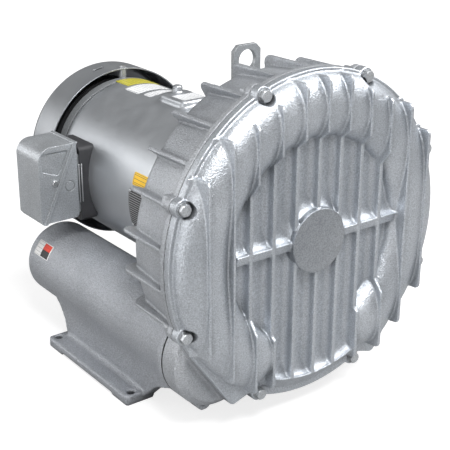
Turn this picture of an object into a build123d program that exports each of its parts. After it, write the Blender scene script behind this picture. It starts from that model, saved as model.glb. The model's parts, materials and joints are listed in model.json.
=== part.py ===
"""Side channel blower with its motor, built as an assembly of separate parts.

All shapes are first drawn on the blower's shaft line: y = 0 is the plane of the
front cover's central fins, y grows towards the motor's fan, z = 0 is the shaft axis.
place() then moves each part to the blower's own frame, whose origin is the centre
of the foot bolt pattern on the mounting face (+Z up, cover facing -Y).
"""
from build123d import *
import math
import os

# ---------------------------------------------------------------- whole machine
SHAFT_HEIGHT = 235.0          # shaft axis above the mounting face
FRONT_TO_FEET = 251.5         # front fin plane to the centre of the foot bolts
RUN_GAP = 0.5                 # impeller to cover and impeller to housing wall
FIT_GAP = 0.3                 # clearance between parts that only lie near each other
SHAFT_FIT = 0.03              # radial clearance of sliding parts on the shaft
GASKET = 0.5                  # thickness of the flat gaskets
SHELL_R, SHELL_WALL = 112.0, 5.0     # motor shell

# ---------------------------------------------------------------- front cover
COVER_R = 208.0               # radius of the round cover and housing flange
CORNER_REACH, CORNER_ANGLE = COVER_R + 19.9, -58.8   # pointed corner, right and left
CORNER_R = 8.0
JOINT_Y = 24.0                # joint face between cover and housing
FLANGE_FRONT = 14.0           # front face of the cover's flange
FLOOR_FRONT = 13.5            # front face of the cover's floor between the fins
FIN_PITCH = 34.0
FIN_SIDE = 5                  # fins on each side of the central one
FIN_TIP = 3.0                 # thickness of a fin at its front edge
FIN_ROOT = 5.6                # thickness of a fin at the floor
FIN_FLARE = 8.0               # root radius between fin and floor
FIN_CORNER = 7.0              # rounding of a fin's end corners
RIM_LEAD = 13.7               # how far the outer fins stand in front of the central ones
SIDE_LEAD = 5.5               # the same for the lower ends of the fins beside the stripper
FIN_END_R = COVER_R - 5.0     # radius where the upper fin ends meet the flange
FIN_LOW_R = COVER_R - 7.5     # the same for the lower fin ends
FIN_SHORT_R = COVER_R - 16.0  # the same for the fins beside a cover bolt
HUMP_R, HUMP_HALF = COVER_R - 43.0, 38.0   # side channel bulge: mid radius and half width
HUMP_LEAD = 10.0              # crown of the bulge in front of the central fins
HUMP_BASE = 16.0              # plane where the bulge is widest
HUMP_STOP = 35.3              # the bulge tapers off from this angle beside the bottom
STEP_R0, STEP_R1 = HUMP_R - 37.0, HUMP_R - 26.0   # radii where a fin steps forward
CHANNEL_HALF = 29.0           # half width of the side channel
CHANNEL_WALL = 6.0            # wall that closes the channel at the stripper
CHANNEL_DEPTH = 28.0          # depth of the channel in the cover
STRIPPER_X = 2 * FIN_PITCH    # the channel stops at these fins, left and right of the bottom
BAND_R = COVER_R - 26.0       # inner edge of the bottom rim
SCOOP = 22.0                  # length of the scoops up to the rib, boss and rim
BOSS_R, BOSS_LEAD = 41.0, 2.8
NOSE_POCKET_R, NOSE_POCKET_Y = 30.0, 8.0   # room for the impeller bolt
RIB_HALF, RIB_LEAN = 6.0, 3.5        # cross rib: half height and backward lean of its front
RIB_LEFT, RIB_RIGHT = 43.0 - HUMP_R, HUMP_R - 30.0

# ---------------------------------------------------------------- cover bolts
BOLT_CIRCLE = COVER_R - 3.6
BOLT_COUNT = 8
BOLT_START = 22.5
BOLT_R = 4.0                  # M8
BOLT_AF = 13.0
BOLT_HEAD = 5.3
WASHER_R, WASHER_T = 8.0, 1.6
LUG_R = 10.5
LUG_FRONT = 12.0
LUG_REACH = COVER_R + 2.5     # the bosses behind the flange end flat at this radius
LUG_LENGTH, LUG_DRILL = 22.0, 19.0   # those bosses and their threaded holes

# ---------------------------------------------------------------- rear housing
HOUSING_FLANGE_T = 9.5
IMPELLER_W = 35.0
IMPELLER_R = COVER_R - 16.0
REAR_CHANNEL_DEPTH = 42.0
DRUM_R0, DRUM_R1 = COVER_R - 7.0, COVER_R - 17.0   # drum radius behind the flange and at its rear
DRUM_REAR = 116.0
DRUM_EDGE = 14.0
VANES, VANE_T = 40, 3.0
VANE_INNER = IMPELLER_R - 52.0       # inner radius of the vanes
HUB_R = 34.0                  # hub of the impeller
CENTRE_WALL = 12.0
GUSSET_T = 5.0
GUSSET_R0, GUSSET_R1 = COVER_R - 1.0, COVER_R - 3.0
GUSSET_DEPTH = 36.0           # the gussets reach inwards this far on the drum's rear
GUSSET_REAR = 123.0
GUSSET_TIP = 10.0
GUSSET_COUNT, GUSSET_START = 25, 187.5
NECK_R, NECK_WALL = SHELL_R, 12.0    # neck that carries the motor
MOTOR_FACE = 128.0            # where the motor's front end shield seats on the neck

# ---------------------------------------------------------------- ports, mufflers and feet
PORT_REACH, PORT_ANGLE = COVER_R - 24.4, math.radians(-48.98)
PORT_X = PORT_REACH * math.cos(PORT_ANGLE)   # port and muffler axis, left and right
PORT_Z = PORT_REACH * math.sin(PORT_ANGLE)
PORT_FACE = 68.0
PORT_BOSS_R = 64.0
PORT_BORE_R = 44.0
PORT_LUG_R = 67.0
PORT_LUG_ANGLES = (-99.0, -16.0, 104.0)
PORT_LUG_SIZE = 10.5
PORT_LUG_LENGTH = 14.0
PORT_SCREW_DEPTH = 7.0
MUFFLER_R, MUFFLER_WALL = 54.0, 6.0
MUFFLER_REAR = 437.0
MUFFLER_RING_T = 11.0
PIPE_R = 28.5                 # 2 inch pipe port
PIPE_DEPTH = 27.0
LEG_X0, LEG_X1 = PORT_X + 23.0, PORT_X + 41.5
LEG_BLEND = 60.0              # radius between the leg's outer face and the tube
LEG_WAIST = -200.0            # height where the leg is narrowest, seen from the side
FOOT_X1 = PORT_X + 68.1
FOOT_T = 14.0
FOOT_BLEND = 8.0
FOOT_PAD = 3.0
FOOT_LENGTH = 212.0
FOOT_SPACING_X, FOOT_SPACING_Y = 2 * PORT_X + 111.0, FOOT_LENGTH - 20.0
FOOT_HOLE_R = 5.5
FOAM_T, FOAM_START = 12.0, 12.0      # foam lining: thickness and start behind the port face

# ---------------------------------------------------------------- motor
SHIELD_T = 14.0
MOTOR_BOLT_R = 5.0            # M10
MOTOR_BOLT_AF, MOTOR_BOLT_HEAD = 16.0, 6.4
MOTOR_BOLT_CIRCLE = SHELL_R + 9.0
MOTOR_BOLT_ANGLES = (25.0, 155.0, 205.0, 335.0)
MOTOR_LUG_R = 11.0
SHELL_REAR = 432.0
REAR_SHIELD_T = 15.0
FAN_COVER_R, FAN_COVER_WALL = SHELL_R + 15.0, 1.6
FAN_COVER_FRONT, FAN_COVER_REAR = 441.6, 503.0
FAN_COVER_EDGE = 10.0
FAN_R = SHELL_R - 2.0
STATOR_Y0, STATOR_Y1 = 205.0, 335.0
STATOR_BORE = 62.0
AIR_GAP = 0.6
WINDING_OVERHANG = 36.0

# shaft and bearings: (bore radius, outer radius, width, ball radius, ball count)
FRONT_BEARING = (20.0, 40.0, 18.0, 6.0, 9)
REAR_BEARING = (15.0, 31.0, 16.0, 4.8, 9)
FRONT_BEARING_Y = 140.0
REAR_BEARING_Y = 426.0
SHAFT_NOSE_R = 16.0           # where the impeller sits
SPACER_R = 24.0
FAN_SEAT_R = 12.0             # where the cooling fan sits
KEY_HALF, KEY_LENGTH = 5.0, 26.0     # key 10 x 8 mm: half width and length
KEY_SEAT, KEY_RISE = 5.0, 3.3        # its depth in the shaft and height above it
THREAD_R = 5.0                # M10 thread in the shaft's nose
SEAL_R = 32.0
PLATE_HALF, PLATE_TOP, PLATE_T = 20.7, SHELL_R + 102.0, 6.0
PLATE_HOLE_R = 13.2
PLATE_HOLE_DROP = 19.2
PLATE_SEAT_TOP = SHELL_R + 30.0
PLATE_BOLT_X, PLATE_BOLT_Z = 10.5, SHELL_R + 18.0
PAD_HALF, PAD_Y0, PAD_Y1, PAD_TOP = 23.0, 250.0, 312.0, SHELL_R + 9.0
STUB_Y, STUB_R, STUB_H = 296.0, 7.0, 11.0
FAN_SCREW_START, FAN_SCREW_Y = 87.5, 447.5
FAN_SCREW_HEAD, STANDOFF_R = 4.7, 5.5
GRILLE_R0, GRILLE_R1, GRILLE_SLOT, GRILLE_SLOTS = 34.0, SHELL_R - 14.0, 6.0, 24
DRIP_Y, DRIP_ANGLES = 468.0, (101.0, 281.0)
DRIP_LENGTH, DRIP_WIDTH = 20.0, 7.0
FAN_Y, FAN_BLADES = 459.0, 8
FAN_HUB = 28.0                # length of the fan's hub

# ---------------------------------------------------------------- conduit box
BOX_Y0, BOX_Y1 = 353.0, 417.0
BOX_X0, BOX_X1 = SHELL_R + 18.0, SHELL_R + 77.0
BOX_Z0, BOX_Z1 = -49.0, 59.0
BOX_WALL = 4.0
BOX_CORNER = 20.0             # rounding of the box's upper outer corner
LIP, LIP_PROUD = 3.0, 1.5     # lips on both sides of the sloping seam
PANEL_DEPTH = 1.6             # recessed panels on the front and rear faces
COLLAR = 5.0                  # collar between the box and its neck
LID_SCREW_X, LID_SCREW_Z = -BOX_X0 - 35.0, 7.2
LID_SCREW_R, LID_SCREW_HEAD = 2.5, 4.4
KNOCKOUT_X, KNOCKOUT_Z, KNOCKOUT_R = -BOX_X0 - 12.5, -1.0, 7.5
NECK_Y0, NECK_Y1 = 355.0, 421.0
NECK_Z0, NECK_Z1 = -58.0, 50.0
WIRE_R = 16.0                 # opening for the wires

housing_y = JOINT_Y + GASKET
wall_y = JOINT_Y + 2 * RUN_GAP + IMPELLER_W
PARTS = {}


def place(name, *solids):
    """Keep a part under its name, moved from the shaft line to the blower's frame."""
    to_frame = Pos(0, -FRONT_TO_FEET, SHAFT_HEIGHT)
    shapes = []
    for solid in solids:
        shapes.extend((to_frame * solid).solids())
    PARTS[name] = shapes[0] if len(shapes) == 1 else Compound(children=shapes)


def rod(radius, y0, y1, x=0.0, z=0.0):
    """Round bar along the shaft direction."""
    bar = Cylinder(radius, y1 - y0, align=(Align.CENTER, Align.CENTER, Align.MIN))
    return Pos(x, y0, z) * Rot(-90, 0, 0) * bar


def ring(outer, inner, y0, y1, x=0.0, z=0.0):
    return rod(outer, y0, y1, x, z) - rod(inner, y0 - 1, y1 + 1, x, z)


def turned(profile):
    """Solid of revolution about the shaft from a face drawn in (radius, y)."""
    return revolve(profile, axis=Axis.Y)


def turned_points(*points):
    return turned(make_face(Polyline(*points, close=True)))


def slab(sketch, y0, y1):
    """Extrude a sketch drawn in (x, z) from y0 to y1."""
    return Pos(0, y1, 0) * extrude(Plane.XZ * sketch, y1 - y0)


def side_slab(sketch, x0, x1):
    """Extrude a sketch drawn in (y, z) from x0 to x1."""
    return Pos(x0, 0, 0) * extrude(Plane.YZ * sketch, x1 - x0)


def block(x0, x1, y0, y1, z0, z1):
    centre = Pos((x0 + x1) / 2, (y0 + y1) / 2, (z0 + z1) / 2)
    return centre * Box(x1 - x0, y1 - y0, z1 - z0)


def polar(radius, angle):
    """Point (x, z) at an angle measured from +x towards +z."""
    turn = math.radians(angle)
    return radius * math.cos(turn), radius * math.sin(turn)


def around(solid, angles):
    """Copies of a solid turned about the shaft."""
    return [Rot(0, -angle, 0) * solid for angle in angles]


def bolt_angles():
    return [BOLT_START + 360 / BOLT_COUNT * k for k in range(BOLT_COUNT)]


def mirrored(solid):
    return mirror(solid, about=Plane.YZ)


def hex_bolt(radius, flats, head, y_seat, y_end, x=0.0, z=0.0):
    """Hexagon bolt whose head lies in front of y_seat and whose shank runs back."""
    top = slab(Pos(x, z) * RegularPolygon(flats / 2, 6, major_radius=False), y_seat - head, y_seat)
    crown = rod(flats / 2 * 1.12, y_seat - head, y_seat, x, z)
    return (top & chamfer(crown.edges().sort_by(Axis.Y)[0], 0.8)) + rod(radius, y_seat, y_end, x, z)


# ================================================================ flange outline
def flange_outline():
    """Round flange with a pointed corner at the lower left and right."""
    shapes = Circle(COVER_R)
    lean = math.degrees(math.acos(COVER_R / CORNER_REACH))
    corner = polar(CORNER_REACH, CORNER_ANGLE)
    ear = make_face(Polyline((0, 0), polar(COVER_R, CORNER_ANGLE - 5), corner,
                             polar(COVER_R, CORNER_ANGLE + lean), close=True))
    ear = fillet([v for v in ear.vertices() if abs(v.Y - corner[1]) < 0.01], CORNER_R)
    for side in (-1, 1):
        shapes = shapes + (ear if side > 0 else mirror(ear, about=Plane.YZ))
    for angle in bolt_angles():
        shapes = shapes + Pos(*polar(BOLT_CIRCLE, angle)) * Circle(LUG_R)
    return shapes


# ================================================================ front cover
def rise(radius, x):
    """Height of a circle of this radius at x, or 0 beyond it."""
    return math.sqrt(max(radius ** 2 - x ** 2, 0))


def fin_outline(number):
    """Side view of one fin in (y, z): its front edge steps forward over the channel."""
    x = number * FIN_PITCH
    back, lead = FLOOR_FRONT + 3, -RIM_LEAD
    beside_bolt = abs(number) in (2, 3)
    end = rise(FIN_SHORT_R if beside_bolt else FIN_END_R, x)
    low = -rise(FIN_LOW_R, x)
    step = rise(STEP_R0, x)
    top = [(lead, end), (back, end)]
    bottom = [(lead, low), (back, low - 2)]
    if step > 0:
        top = [(0, step), (lead, rise(STEP_R1, x))] + top
        bottom = [(0, -step), (lead, -rise(STEP_R1, x))] + bottom
    if abs(number) == 2:
        low = -rise(FIN_SHORT_R, x)
        bottom = [(0, -step), (-SIDE_LEAD, -step - SIDE_LEAD), (-SIDE_LEAD, low), (back, low - 3)]
    elif abs(number) < 2:
        bottom = [(0, -rise(BAND_R, x)), (back, -rise(BAND_R, x))]
    face = make_face(Polyline(*top, *reversed(bottom), close=True))
    ends = [v for v in face.vertices() if v.X < 1 and abs(v.Y - end) < 0.01]
    if abs(number) > 1:
        ends += [v for v in face.vertices() if v.X < 1 and abs(v.Y - low) < 0.01]
    face = fillet(ends, FIN_CORNER)
    steps = [v for v in face.vertices() if v.X < 1 and abs(abs(v.Y) - step) < 0.01]
    return fillet(steps, 2.0) if step > 0 else face


def fin(number):
    """One drafted fin: a wedge section with flared roots, cut to the fin's side view."""
    tip, root, flare = FIN_TIP / 2, FIN_ROOT / 2, FIN_FLARE
    front, floor = -RIM_LEAD - 1, FLOOR_FRONT
    right = Polyline((0, front), (tip, front), (root, floor - flare))
    swing = Polyline((root + flare, floor), (root + flare, floor + 4), (0, floor + 4))
    sweep_in = RadiusArc((root, floor - flare), (root + flare, floor), flare)
    half = make_face(right + sweep_in + swing + Line((0, floor + 4), (0, front)))
    section = half + mirror(half, about=Plane.YZ)
    wedge = extrude(section, COVER_R, both=True)
    plate = side_slab(fin_outline(number), -root - flare, root + flare)
    return Pos(number * FIN_PITCH, 0, 0) * (wedge & plate)


def horseshoe(half_width, depth, base, back):
    """Channel shape with a half-oval section, its two ends tapered off beside the bottom.

    Its deepest line lies `depth` in front of `base`, and it runs straight back to `back`.
    """
    oval = Ellipse(half_width, depth) & (Pos(0, -depth) * Rectangle(2 * half_width, 2 * depth))
    oval += Pos(0, (back - base) / 2) * Rectangle(2 * half_width, back - base)
    bend = revolve(Pos(HUMP_R, base) * oval, axis=Axis.Y, revolution_arc=360 - 2 * HUMP_STOP)
    shape = Rot(0, 90 + HUMP_STOP, 0) * bend
    half = oval & (Pos(half_width, 0) * Rectangle(2 * half_width, 4 * depth))
    end = revolve(half, axis=Axis.Y, revolution_arc=180)
    for stop, start in ((-90 - HUMP_STOP, 90 - HUMP_STOP), (-90 + HUMP_STOP, -90 + HUMP_STOP)):
        x, z = polar(HUMP_R, stop)
        shape += Pos(x, base, z) * Rot(0, -start, 0) * end
    return shape


def hump():
    """Outside of the side channel, ending at the two stripper fins."""
    ridge = horseshoe(HUMP_HALF, HUMP_BASE + HUMP_LEAD, HUMP_BASE, JOINT_Y)
    return ridge - block(-STRIPPER_X, STRIPPER_X, -40, JOINT_Y + 1, -COVER_R, 0)


def scoop_profile(edge, depth, length):
    """Concave ramp in (distance, y) from the floor up to an edge."""
    corner = Pos(edge + length / 2, (depth + 3) / 2) * Rectangle(length, depth + 3)
    return corner - Pos(edge + length, 0) * Ellipse(length, depth)


def cross_rib():
    """Horizontal rib: square below, scooped up to its edge above."""
    plain = make_face(Polyline((RIB_LEAN, -RIB_HALF), (0, RIB_HALF), (FLOOR_FRONT + 3, RIB_HALF),
                               (FLOOR_FRONT + 3, -RIB_HALF), close=True))
    ramp = scoop_profile(RIB_HALF, FLOOR_FRONT, SCOOP)
    ramp = Plane.XY * mirror(Rot(0, 0, 90) * ramp, about=Plane.YZ)
    return side_slab(plain, RIB_LEFT, RIB_RIGHT) + side_slab(ramp, RIB_LEFT, RIB_RIGHT)


def boss():
    """Round centre boss with a scooped skirt above the rib."""
    skirt = turned(scoop_profile(BOSS_R - 1, FLOOR_FRONT, SCOOP))
    skirt = skirt & block(-COVER_R, COVER_R, -40, JOINT_Y, 0, COVER_R)
    return rod(BOSS_R, -BOSS_LEAD, FLOOR_FRONT + 3) + skirt


def bottom_rim():
    """Rim between the stripper fins, scooped inside and coned outside."""
    inner = mirror(scoop_profile(-BAND_R, FLOOR_FRONT, SCOOP), about=Plane.YZ)
    cone = make_face(Polyline((BAND_R - 0.5, 0), (BAND_R, 0), (COVER_R - 2, JOINT_Y - 4),
                              (COVER_R - 2, JOINT_Y), (BAND_R - 0.5, JOINT_Y), close=True))
    gate = block(-STRIPPER_X, STRIPPER_X, -40, JOINT_Y, -COVER_R, -COVER_R / 2)
    return turned(inner + cone) & gate


def front_cover():
    body = slab(flange_outline(), FLANGE_FRONT, JOINT_Y)
    body += rod(HUMP_R, FLOOR_FRONT, JOINT_Y)
    body += hump()
    body += bottom_rim()
    for angle in bolt_angles():
        x, z = polar(BOLT_CIRCLE, angle)
        body += rod(LUG_R, LUG_FRONT, JOINT_Y, x, z)
    body += cross_rib()
    body += boss()
    for number in range(-FIN_SIDE, FIN_SIDE + 1):
        body += fin(number)
    stop = STRIPPER_X + CHANNEL_WALL
    gate = block(-stop, stop, -40, JOINT_Y + 2, -COVER_R, 0)
    body -= horseshoe(CHANNEL_HALF, CHANNEL_DEPTH, JOINT_Y, JOINT_Y + 1) - gate
    for angle in bolt_angles():
        x, z = polar(BOLT_CIRCLE, angle)
        body -= rod(LUG_R, -40, LUG_FRONT, x, z)
        body -= rod(BOLT_R + FIT_GAP, 0, JOINT_Y + 1, x, z)
    body -= rod(NOSE_POCKET_R, NOSE_POCKET_Y, JOINT_Y + 1)
    return body


# ================================================================ rear housing
def drum():
    """Outer drum and rear channel wall of the housing."""
    hub = wall_y + CENTRE_WALL
    face = make_face(Polyline((DRUM_R0, housing_y), (DRUM_R1, DRUM_REAR), (NECK_R + 12, DRUM_REAR),
                              (NECK_R + 4, hub), (0, hub), (0, housing_y), close=True))
    edges = [v for v in face.vertices() if v.Y > DRUM_REAR - 1]
    return turned(fillet(edges, DRUM_EDGE))


def gusset():
    """Axial rib on the drum with a rounded rear tip."""
    inner = GUSSET_R1 - GUSSET_DEPTH
    face = make_face(Polyline((inner, housing_y + 2), (GUSSET_R0, housing_y + 2), (GUSSET_R1, GUSSET_REAR),
                              (inner, DRUM_REAR - 1), close=True))
    tip = [v for v in face.vertices() if v.X > GUSSET_R1 - 1 and v.Y > GUSSET_REAR - 1]
    return Pos(0, 0, GUSSET_T / 2) * extrude(fillet(tip, GUSSET_TIP), -GUSSET_T)


def port_side(side):
    """Everything round one port: boss and screw lugs, before it is bored."""
    boss_body = rod(PORT_BOSS_R, housing_y + 8, PORT_FACE, side * PORT_X, PORT_Z)
    front = boss_body.edges().filter_by(GeomType.CIRCLE).sort_by(Axis.Y)[0]
    body = chamfer(front, 9.0)
    for x, z in lug_points(side)[:1]:
        body += rod(PORT_LUG_SIZE, PORT_FACE - PORT_LUG_LENGTH, PORT_FACE, x, z)
    return body


def lug_points(side):
    points = []
    for angle in PORT_LUG_ANGLES:
        dx, dz = polar(PORT_LUG_R, angle)
        points.append((side * (PORT_X - dx), PORT_Z + dz))
    return points


def rear_channel():
    """Deep half of the side channel, open round the ports."""
    oval = Pos(HUMP_R, wall_y) * Ellipse(CHANNEL_HALF, REAR_CHANNEL_DEPTH)
    half = Pos(HUMP_R, wall_y + REAR_CHANNEL_DEPTH) * Rectangle(3 * CHANNEL_HALF, 2 * REAR_CHANNEL_DEPTH)
    return turned(oval & half) - block(-COVER_R, COVER_R, wall_y - 1, MOTOR_FACE, -COVER_R, -45)


def rear_housing():
    body = slab(flange_outline(), housing_y, housing_y + HOUSING_FLANGE_T) + drum()
    for rib in around(gusset(), [GUSSET_START + 360 / GUSSET_COUNT * k for k in range(GUSSET_COUNT)]):
        body += rib
    body += ring(NECK_R, NECK_R - NECK_WALL, wall_y + CENTRE_WALL - 1, MOTOR_FACE)
    for x, z in motor_bolt_points():
        body += rod(MOTOR_LUG_R, DRUM_REAR - 4, MOTOR_FACE, x, z)
    for side in (-1, 1):
        x = side * PORT_X
        room = rod(PORT_BOSS_R + 2.5, PORT_FACE, MUFFLER_REAR, x, PORT_Z)
        for lug_x, lug_z in lug_points(side):
            room += rod(PORT_LUG_SIZE + 2.5, PORT_FACE, MUFFLER_REAR, lug_x, lug_z)
        body -= room
        body += port_side(side)
    body -= rod(IMPELLER_R + 1, housing_y - 1, wall_y)
    body -= rear_channel()
    for side in (-1, 1):
        body -= rod(PORT_BORE_R, wall_y - 14, PORT_FACE + 1, side * PORT_X, PORT_Z)
        for number, (lug_x, lug_z) in enumerate(lug_points(side)):
            depth = PORT_LUG_LENGTH + 1 if number == 0 else PORT_SCREW_DEPTH
            body -= rod(BOLT_R, PORT_FACE - depth, PORT_FACE + 1, lug_x, lug_z)
    for angle in bolt_angles():
        x, z = polar(BOLT_CIRCLE, angle)
        body += rod(LUG_R - 2, housing_y, housing_y + LUG_LENGTH, x, z) & rod(LUG_REACH, housing_y, MOTOR_FACE)
        body -= rod(BOLT_R, housing_y - 1, housing_y + LUG_DRILL, x, z)
    body -= rod(SEAL_R, wall_y - 1, wall_y + CENTRE_WALL + 1)
    for x, z in motor_bolt_points():
        body -= rod(MOTOR_BOLT_R, MOTOR_FACE - 16, MOTOR_FACE + 1, x, z)
    return body


def motor_bolt_points():
    return [polar(MOTOR_BOLT_CIRCLE, angle) for angle in MOTOR_BOLT_ANGLES]


# ================================================================ mufflers and feet
def leg(front, rear, start):
    """Leg between tube and foot: its outer face curves into the tube and into the foot."""
    foot_z = -SHAFT_HEIGHT
    side = make_face(Polyline((front + 3, foot_z + 4), (rear - 12, foot_z + 4), (rear - 4, LEG_WAIST),
                              (rear + 12, LEG_WAIST + 24), (rear + 12, PORT_Z), (start + 4, PORT_Z),
                              (start + 4, LEG_WAIST + 16), (front - 28, LEG_WAIST - 2), close=True))
    centre_x = LEG_X1 + LEG_BLEND
    drop = rise(MUFFLER_R + LEG_BLEND, centre_x - PORT_X)
    touch_x = PORT_X + (centre_x - PORT_X) * MUFFLER_R / (MUFFLER_R + LEG_BLEND)
    plate = side_slab(side, LEG_X0, touch_x)
    plate -= rod(LEG_BLEND, 0, 2 * MUFFLER_REAR, centre_x, PORT_Z - drop)
    plate -= block(LEG_X1, centre_x, 0, 2 * MUFFLER_REAR, foot_z, PORT_Z - drop)
    top = foot_z + FOOT_T
    corner = block(LEG_X1, LEG_X1 + FOOT_BLEND, front + 8, rear - 13, top, top + FOOT_BLEND)
    corner -= rod(FOOT_BLEND, 0, 2 * MUFFLER_REAR, LEG_X1 + FOOT_BLEND, top + FOOT_BLEND)
    return plate + corner


def muffler():
    """Right-hand silencer casting with its leg and foot."""
    start = PORT_FACE + GASKET
    body = rod(MUFFLER_R, start, MUFFLER_REAR, PORT_X, PORT_Z)
    body = fillet(body.edges().filter_by(GeomType.CIRCLE).sort_by(Axis.Y)[-1], 6.0)
    body += rod(PORT_BOSS_R, start, start + MUFFLER_RING_T, PORT_X, PORT_Z)
    for x, z in lug_points(1):
        body += rod(PORT_LUG_SIZE, start, start + MUFFLER_RING_T, x, z)
    foot_z = -SHAFT_HEIGHT
    front, rear = FRONT_TO_FEET - FOOT_LENGTH / 2, FRONT_TO_FEET + FOOT_LENGTH / 2
    body += leg(front, rear, start)
    foot = block(LEG_X0, FOOT_X1, front, rear, foot_z, foot_z + FOOT_T)
    body += fillet(foot.edges().filter_by(Axis.Z), 7.0)
    body -= block(LEG_X0 - 1, FOOT_X1 + 1, front + 38, rear - 38, foot_z - 1, foot_z + FOOT_PAD)
    body -= rod(MUFFLER_R - MUFFLER_WALL, start - 1, MUFFLER_REAR - PIPE_DEPTH, PORT_X, PORT_Z)
    body -= rod(PIPE_R, start, MUFFLER_REAR + 1, PORT_X, PORT_Z)
    for x, z in lug_points(1):
        body -= rod(BOLT_R + FIT_GAP, start - 1, start + MUFFLER_RING_T + 1, x, z)
    for y in (-1, 1):
        spot = Pos(FOOT_SPACING_X / 2, FRONT_TO_FEET + y * FOOT_SPACING_Y / 2, foot_z)
        body -= spot * Cylinder(FOOT_HOLE_R, 60)
    return body


def muffler_parts():
    right = muffler()
    place("muffler_right", right)
    place("muffler_left", mirrored(right))
    sheet = Pos(PORT_X, PORT_Z) * Circle(PORT_BOSS_R)
    for x, z in lug_points(1):
        sheet += Pos(x, z) * Circle(PORT_LUG_SIZE)
    sheet -= Pos(PORT_X, PORT_Z) * Circle(PORT_BORE_R)
    for x, z in lug_points(1):
        sheet -= Pos(x, z) * Circle(BOLT_R + FIT_GAP)
    gasket = slab(sheet, PORT_FACE, PORT_FACE + GASKET)
    place("muffler_gaskets", gasket, mirrored(gasket))
    outer = MUFFLER_R - MUFFLER_WALL - FIT_GAP
    foam = ring(outer, outer - FOAM_T, PORT_FACE + FOAM_START, MUFFLER_REAR - PIPE_DEPTH - FIT_GAP,
                PORT_X, PORT_Z)
    place("silencer_foam_right", foam)
    place("silencer_foam_left", mirrored(foam))
    seat = PORT_FACE + GASKET + MUFFLER_RING_T
    bolts = []
    for x, z in lug_points(1):
        reach = MUFFLER_RING_T + GASKET + PORT_SCREW_DEPTH - 0.5
        bolt = hex_bolt(BOLT_R - 0.05, BOLT_AF, BOLT_HEAD, 0, reach)
        bolts.append(Pos(x, seat, z) * Rot(0, 0, 180) * bolt)
    place("muffler_bolts", *bolts, *[mirrored(bolt) for bolt in bolts])


# ================================================================ fasteners of the cover
def cover_fasteners():
    bolts, washers = [], []
    for angle in bolt_angles():
        x, z = polar(BOLT_CIRCLE, angle)
        bolts.append(hex_bolt(BOLT_R - 0.05, BOLT_AF, BOLT_HEAD, LUG_FRONT - WASHER_T,
                              housing_y + LUG_DRILL - 3, x, z))
        washers.append(ring(WASHER_R, BOLT_R + 0.2, LUG_FRONT - WASHER_T, LUG_FRONT, x, z))
    place("cover_bolts", *bolts)
    place("cover_washers", *washers)
    sheet = slab(flange_outline(), JOINT_Y, JOINT_Y + GASKET) - rod(IMPELLER_R + 1, JOINT_Y - 1, housing_y + 1)
    for angle in bolt_angles():
        x, z = polar(BOLT_CIRCLE, angle)
        sheet -= rod(BOLT_R + FIT_GAP, JOINT_Y - 1, housing_y + 1, x, z)
    place("cover_gasket", sheet)


# ================================================================ impeller and shaft
def impeller():
    """Double-sided side channel wheel: hub, dished web and open vanes on both faces."""
    y0 = JOINT_Y + RUN_GAP
    y1 = y0 + IMPELLER_W
    mid = (y0 + y1) / 2
    bore, rim = SHAFT_NOSE_R + SHAFT_FIT, IMPELLER_R - 8
    half = [(HUB_R, 0), (HUB_R + 3, -5), (VANE_INNER - 16, -5), (VANE_INNER - 8, 0), (VANE_INNER, 0),
            (VANE_INNER + 14, -3), (rim, -1.5)]
    front = [(r, y0 if y == 0 else mid + y) for r, y in half]
    rear = [(r, y1 if y == 0 else mid - y) for r, y in reversed(half)]
    web = turned_points((bore, y0), *front, *rear, (bore, y1))
    vane = block(VANE_INNER - 1, IMPELLER_R - 1, y0, y1, -VANE_T / 2, VANE_T / 2)
    wheel = web
    for blade in around(vane, [360 / VANES * k for k in range(VANES)]):
        wheel += blade
    key = key_shape(0.05)
    return wheel - key


def key_shape(clearance=0.0):
    half = KEY_HALF + clearance
    y0 = JOINT_Y + RUN_GAP + 6 - clearance
    return block(-half, half, y0, y0 + KEY_LENGTH + 2 * clearance,
                 SHAFT_NOSE_R - KEY_SEAT - clearance, SHAFT_NOSE_R + KEY_RISE + clearance)


def shaft():
    fb, rb = FRONT_BEARING, REAR_BEARING
    nose = JOINT_Y + RUN_GAP + 4
    hub_end = JOINT_Y + RUN_GAP + IMPELLER_W
    step = FRONT_BEARING_Y
    bar = rod(SHAFT_NOSE_R, nose, hub_end)
    bar += rod(fb[0] - SHAFT_FIT, hub_end, step + fb[2])
    bar += rod(fb[0] + 5, step + fb[2], REAR_BEARING_Y - 4)
    bar += rod(rb[0] + 3, REAR_BEARING_Y - 4, REAR_BEARING_Y)
    bar += rod(rb[0] - SHAFT_FIT, REAR_BEARING_Y, REAR_BEARING_Y + rb[2] + 4)
    bar += rod(FAN_SEAT_R, REAR_BEARING_Y + rb[2] + 4, FAN_Y + FAN_HUB + 5)
    bar -= key_shape()
    bar -= rod(THREAD_R, nose - 1, nose + 28)
    return bar


def rotor_parts():
    fb, rb = FRONT_BEARING, REAR_BEARING
    place("impeller", impeller())
    place("shaft", shaft())
    place("impeller_key", key_shape())
    front = JOINT_Y + RUN_GAP
    bolt = hex_bolt(THREAD_R - 0.05, 17, 6.5, front - 3, front + 28)
    place("impeller_bolt", bolt)
    place("impeller_washer", ring(SHAFT_NOSE_R + 8, THREAD_R + 0.2, front - 3, front))
    core = ring(STATOR_BORE - AIR_GAP, fb[0] + 5 + SHAFT_FIT, STATOR_Y0, STATOR_Y1)
    place("rotor_core", core)
    rings = [ring(STATOR_BORE - 6, STATOR_BORE - 22, STATOR_Y1, STATOR_Y1 + 14),
             ring(STATOR_BORE - 6, STATOR_BORE - 22, STATOR_Y0 - 14, STATOR_Y0)]
    place("rotor_end_rings", *rings)
    hub_end = JOINT_Y + RUN_GAP + IMPELLER_W
    place("shaft_spacer", ring(SPACER_R, fb[0], hub_end, FRONT_BEARING_Y))


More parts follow.
